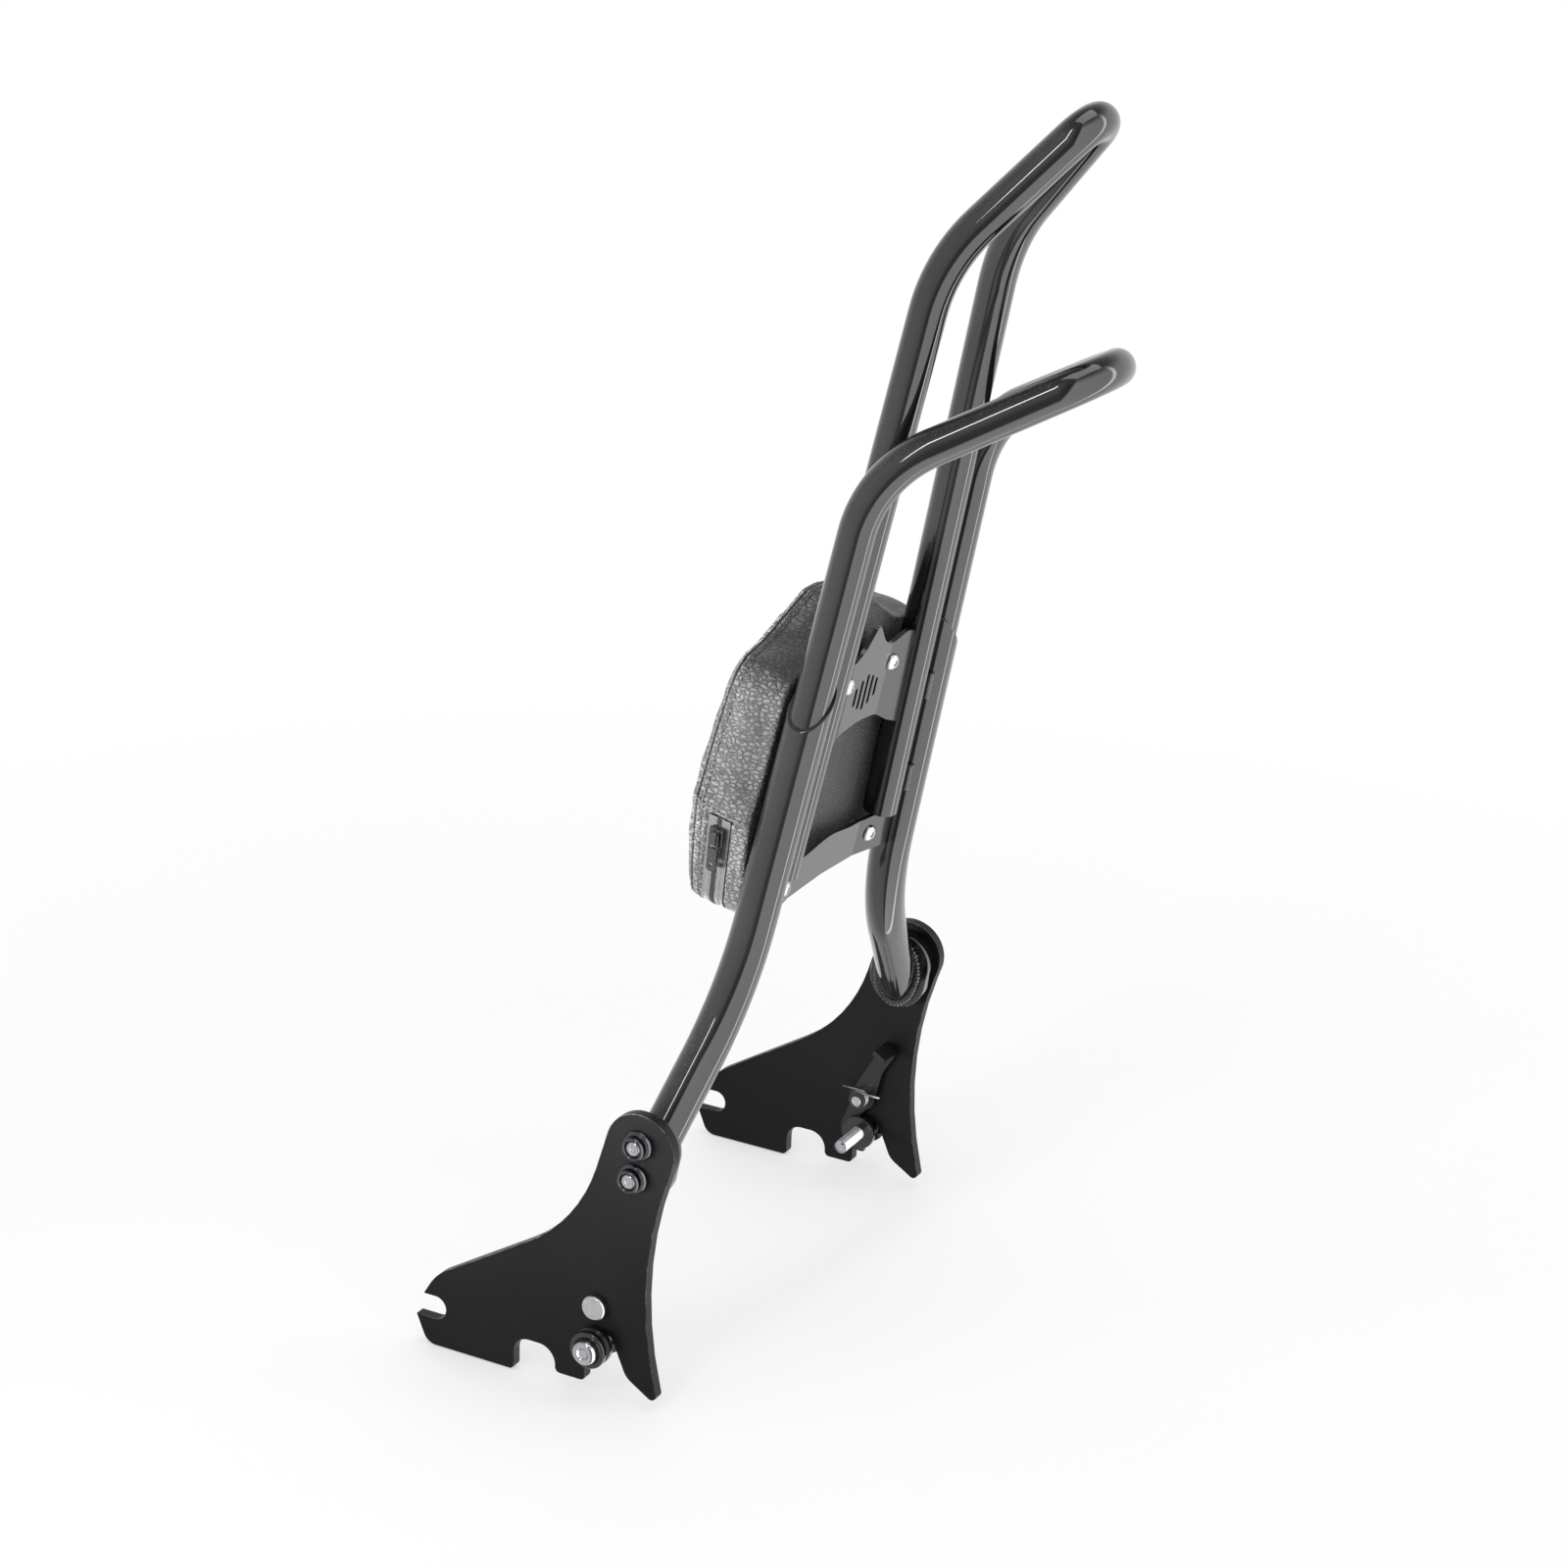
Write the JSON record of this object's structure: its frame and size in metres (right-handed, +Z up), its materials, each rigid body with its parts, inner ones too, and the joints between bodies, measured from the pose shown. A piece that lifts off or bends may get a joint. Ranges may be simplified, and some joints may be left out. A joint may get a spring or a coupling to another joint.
{
  "type": "sissy bar",
  "caption": "Detachable motorbike passenger backrest: notched side plates, bent tube uprights with a low and a tall pointed hoop, folded brackets and a leather pad.",
  "frame": {"origin": "midway between the two rear docking studs, on their common axis", "axes": "+X to the bike's right, +Y forward, +Z up"},
  "size_m": [0.3338, 0.3109, 0.6687],
  "materials": {
    "plate": "satin black powder coat",
    "tube": "gloss black powder coat",
    "bracket": "gloss black powder coat",
    "pad_bolt": "bright zinc",
    "insert": "zinc plated",
    "black_bolt": "black chrome",
    "latch": "satin black",
    "bright": "turned and polished",
    "clip": "black oxide",
    "spring": "spring steel",
    "bush": "black chrome",
    "leather": "pebbled, semi-matt",
    "foam": "open-cell foam",
    "board": "plywood",
    "zip_tape": "woven tape",
    "zip_metal": "dark nickel"
  },
  "bodies": {
    "frame": {"side_plate_left": "plate", "side_plate_right": "plate", "foot_tab_left": "tube", "foot_tab_right": "tube", "foot_weld_left": "tube", "foot_weld_right": "tube", "lower_tube_left": "tube", "lower_tube_right": "tube", "low_hoop": "tube", "tall_hoop": "tube", "hoop_weld_left": "tube", "hoop_weld_right": "tube", "upper_bracket": "bracket", "lower_bracket": "bracket", "pad_bolts": "pad_bolt", "pad_inserts": "insert", "foot_bolts_left": "black_bolt", "foot_bolts_right": "black_bolt", "latch_pin_left": "bright", "latch_pin_right": "bright", "latch_clips": "clip", "latch_spring_left": "spring", "latch_spring_right": "spring", "dock_bush_left": "bush", "dock_bush_right": "bush", "dock_bolt_left": "bright", "dock_bolt_right": "bright", "pad_cover": "leather", "pad_foam": "foam", "pad_board": "board", "pad_zip": "zip_tape"},
    "latch_left": {"latch_left": "latch"},
    "latch_right": {"latch_right": "latch"},
    "zip_slider": {"zip_slider": "zip_metal"},
    "zip_pull": {"zip_pull": "zip_metal"}
  },
  "joints": [
    {"name": "latch_left_pivot", "type": "hinge", "parent": "frame", "child": "latch_left", "pos_m": [-0.1451, 0, 0.022], "axis": [1, 0, 0], "range_deg": [0, 35], "stiffness_Nm_per_rad": 0.25, "springref_deg": -8.59},
    {"name": "latch_right_pivot", "type": "hinge", "parent": "frame", "child": "latch_right", "pos_m": [0.1451, 0, 0.022], "axis": [1, 0, 0], "range_deg": [0, 35], "stiffness_Nm_per_rad": 0.25, "springref_deg": -8.59},
    {"name": "zip_travel", "type": "slide", "parent": "frame", "child": "zip_slider", "axis": [0.2161, 0.1988, -0.9559], "range_m": [0, 0.031]},
    {"name": "zip_pull_hinge", "type": "hinge", "parent": "zip_slider", "child": "zip_pull", "pos_m": [-0.0857, -0.02536, 0.26533], "axis": [0, 0.979, 0.2036], "range_deg": [0, 75]}
  ]
}
